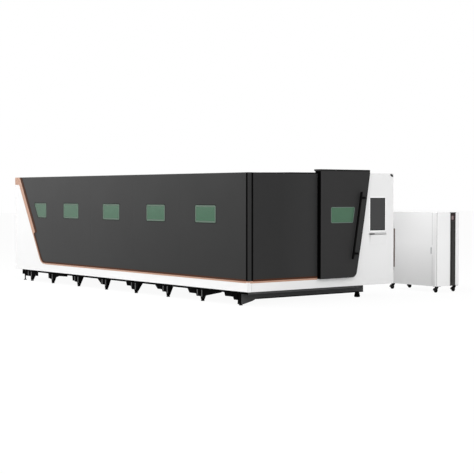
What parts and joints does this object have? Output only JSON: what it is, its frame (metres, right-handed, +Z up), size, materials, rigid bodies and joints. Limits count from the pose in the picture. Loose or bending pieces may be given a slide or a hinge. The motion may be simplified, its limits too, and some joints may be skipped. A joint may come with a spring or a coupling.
{
  "type": "fiber laser cutting machine",
  "caption": "Long enclosed laser cutter with slanted dark side panels, green windows, sliding door, console, gantry over a slat table and a separate source cabinet on casters.",
  "frame": {"origin": "on the floor, under the middle of the bounding box", "axes": "+X along the machine towards the end face with the door and console, +Y away from the windowed long side, +Z up"},
  "size_m": [8.445, 5.219, 2.3143],
  "materials": {
    "accent_strips": "powder coat",
    "back_panels": "fine textured powder coat",
    "base_rails": "black powder coat",
    "bed_frame": "grey enamel",
    "cabinet_display": "display glass",
    "cabinet_door": "powder coat",
    "cabinet_latch": "moulded",
    "cabinet_shell": "powder coat",
    "cabinet_trim": "powder coat",
    "cabinet_vent_strip": "powder coat",
    "caster_fork_1": "black zinc",
    "caster_fork_2": "black zinc",
    "caster_fork_3": "black zinc",
    "caster_fork_4": "black zinc",
    "caster_plates": "black zinc",
    "caster_wheel_1": "moulded nylon",
    "caster_wheel_2": "moulded nylon",
    "caster_wheel_3": "moulded nylon",
    "caster_wheel_4": "moulded nylon",
    "console_door": "powder coat",
    "console_latch": "moulded",
    "console_shell": "powder coat",
    "control_rack": "zinc plate and plastic modules",
    "corner_post": "fine textured powder coat",
    "cutting_head": "anodised",
    "door_cap": "powder coat",
    "door_handle": "satin",
    "door_track": "anodised",
    "door_window": "green laser safety glass",
    "end_beam": "black powder coat",
    "end_panels": "fine textured powder coat",
    "foot_brackets": "black powder coat",
    "frame_posts": "black powder coat",
    "frame_rails": "black powder coat",
    "gantry_beam": "extruded",
    "gantry_ends": "machined",
    "gantry_motors": "black",
    "gaskets": "black rubber",
    "gate_guides": "powder coat",
    "head_carriage": "machined",
    "keyboard": "moulded",
    "keyboard_tray": "powder coat",
    "laser_source": "enamel",
    "levelling_feet": "black",
    "loading_gate": "powder coat",
    "loading_panels": "powder coat",
    "monitor": "dark screen glass",
    "roof_panels": "powder coat",
    "side_panels": "fine textured powder coat",
    "side_windows": "green laser safety glass",
    "skirt_panels": "powder coat",
    "slats": "hot rolled",
    "sleepers": "black powder coat",
    "sliding_door": "fine textured powder coat",
    "table_frame": "enamel",
    "tail_panel": "powder coat",
    "x_racks": "machined",
    "x_rails": "ground",
    "y_rails": "ground",
    "z_slide": "machined"
  },
  "bodies": {
    "machine": {"accent_strips": "accent_strips", "back_panels": "back_panels", "base_rails": "base_rails", "bed_frame": "bed_frame", "cabinet_display": "cabinet_display", "cabinet_shell": "cabinet_shell", "cabinet_vent_strip": "cabinet_vent_strip", "caster_plates": "caster_plates", "console_shell": "console_shell", "control_rack": "control_rack", "corner_post": "corner_post", "door_track": "door_track", "end_beam": "end_beam", "end_panels": "end_panels", "foot_brackets": "foot_brackets", "frame_posts": "frame_posts", "frame_rails": "frame_rails", "gaskets": "gaskets", "gate_guides": "gate_guides", "laser_source": "laser_source", "levelling_feet": "levelling_feet", "loading_panels": "loading_panels", "monitor": "monitor", "roof_panels": "roof_panels", "side_panels": "side_panels", "side_windows": "side_windows", "skirt_panels": "skirt_panels", "slats": "slats", "sleepers": "sleepers", "table_frame": "table_frame", "tail_panel": "tail_panel", "x_racks": "x_racks", "x_rails": "x_rails"},
    "door": {"sliding_door": "sliding_door", "door_window": "door_window", "door_handle": "door_handle", "door_cap": "door_cap"},
    "gate": {"loading_gate": "loading_gate"},
    "gantry": {"gantry_beam": "gantry_beam", "gantry_ends": "gantry_ends", "gantry_motors": "gantry_motors", "y_rails": "y_rails"},
    "head": {"head_carriage": "head_carriage"},
    "z_axis": {"z_slide": "z_slide", "cutting_head": "cutting_head"},
    "tray": {"keyboard_tray": "keyboard_tray", "keyboard": "keyboard"},
    "service_door": {"console_door": "console_door"},
    "service_latch": {"console_latch": "console_latch"},
    "source_door": {"cabinet_door": "cabinet_door", "cabinet_trim": "cabinet_trim"},
    "source_latch": {"cabinet_latch": "cabinet_latch"},
    "caster_1": {"caster_fork_1": "caster_fork_1"},
    "wheel_1": {"caster_wheel_1": "caster_wheel_1"},
    "caster_2": {"caster_fork_2": "caster_fork_2"},
    "wheel_2": {"caster_wheel_2": "caster_wheel_2"},
    "caster_3": {"caster_fork_3": "caster_fork_3"},
    "wheel_3": {"caster_wheel_3": "caster_wheel_3"},
    "caster_4": {"caster_fork_4": "caster_fork_4"},
    "wheel_4": {"caster_wheel_4": "caster_wheel_4"}
  },
  "joints": [
    {"name": "door_slide", "type": "slide", "parent": "machine", "child": "door", "axis": [0, -1, 0], "range_m": [0, 1.15]},
    {"name": "gate_lift", "type": "slide", "parent": "machine", "child": "gate", "axis": [0, 0, 1], "range_m": [0, 0.52]},
    {"name": "gantry_x", "type": "slide", "parent": "machine", "child": "gantry", "axis": [-1, 0, 0], "range_m": [0, 6.2]},
    {"name": "head_y", "type": "slide", "parent": "gantry", "child": "head", "axis": [0, 1, 0], "range_m": [-0.72, 0.72]},
    {"name": "head_z", "type": "slide", "parent": "head", "child": "z_axis", "axis": [0, 0, 1], "range_m": [-0.015, 0.09]},
    {"name": "tray_slide", "type": "slide", "parent": "machine", "child": "tray", "axis": [1, 0, 0], "range_m": [0, 0.28]},
    {"name": "service_door_hinge", "type": "hinge", "parent": "machine", "child": "service_door", "pos_m": [3.234, 0.7955, 0.239], "axis": [0, 0, -1], "range_deg": [0, 110]},
    {"name": "service_latch_turn", "type": "hinge", "parent": "service_door", "child": "service_latch", "pos_m": [3.2355, 0.1135, 1.184], "axis": [1, 0, 0], "range_deg": [0, 90]},
    {"name": "source_door_hinge", "type": "hinge", "parent": "machine", "child": "source_door", "pos_m": [2.8825, 1.9955, 0.119], "axis": [0, 0, -1], "range_deg": [0, 55]},
    {"name": "source_latch_turn", "type": "hinge", "parent": "source_door", "child": "source_latch", "pos_m": [3.8925, 1.9995, 0.85], "axis": [0, 1, 0], "range_deg": [0, 90]},
    {"name": "caster_swivel_1", "type": "hinge", "parent": "machine", "child": "caster_1", "pos_m": [2.8215, 2.0595, 0.1034], "axis": [0, 0, 1], "continuous": true},
    {"name": "caster_roll_1", "type": "hinge", "parent": "caster_1", "child": "wheel_1", "pos_m": [2.8215, 2.0315, 0.041], "axis": [1, 0, 0], "continuous": true},
    {"name": "caster_swivel_2", "type": "hinge", "parent": "machine", "child": "caster_2", "pos_m": [2.8215, 2.5495, 0.1034], "axis": [0, 0, 1], "continuous": true},
    {"name": "caster_roll_2", "type": "hinge", "parent": "caster_2", "child": "wheel_2", "pos_m": [2.8215, 2.5215, 0.041], "axis": [1, 0, 0], "continuous": true},
    {"name": "caster_swivel_3", "type": "hinge", "parent": "machine", "child": "caster_3", "pos_m": [3.9815, 2.0595, 0.1034], "axis": [0, 0, 1], "continuous": true},
    {"name": "caster_roll_3", "type": "hinge", "parent": "caster_3", "child": "wheel_3", "pos_m": [3.9815, 2.0315, 0.041], "axis": [1, 0, 0], "continuous": true},
    {"name": "caster_swivel_4", "type": "hinge", "parent": "machine", "child": "caster_4", "pos_m": [3.9815, 2.5495, 0.1034], "axis": [0, 0, 1], "continuous": true},
    {"name": "caster_roll_4", "type": "hinge", "parent": "caster_4", "child": "wheel_4", "pos_m": [3.9815, 2.5215, 0.041], "axis": [1, 0, 0], "continuous": true}
  ]
}
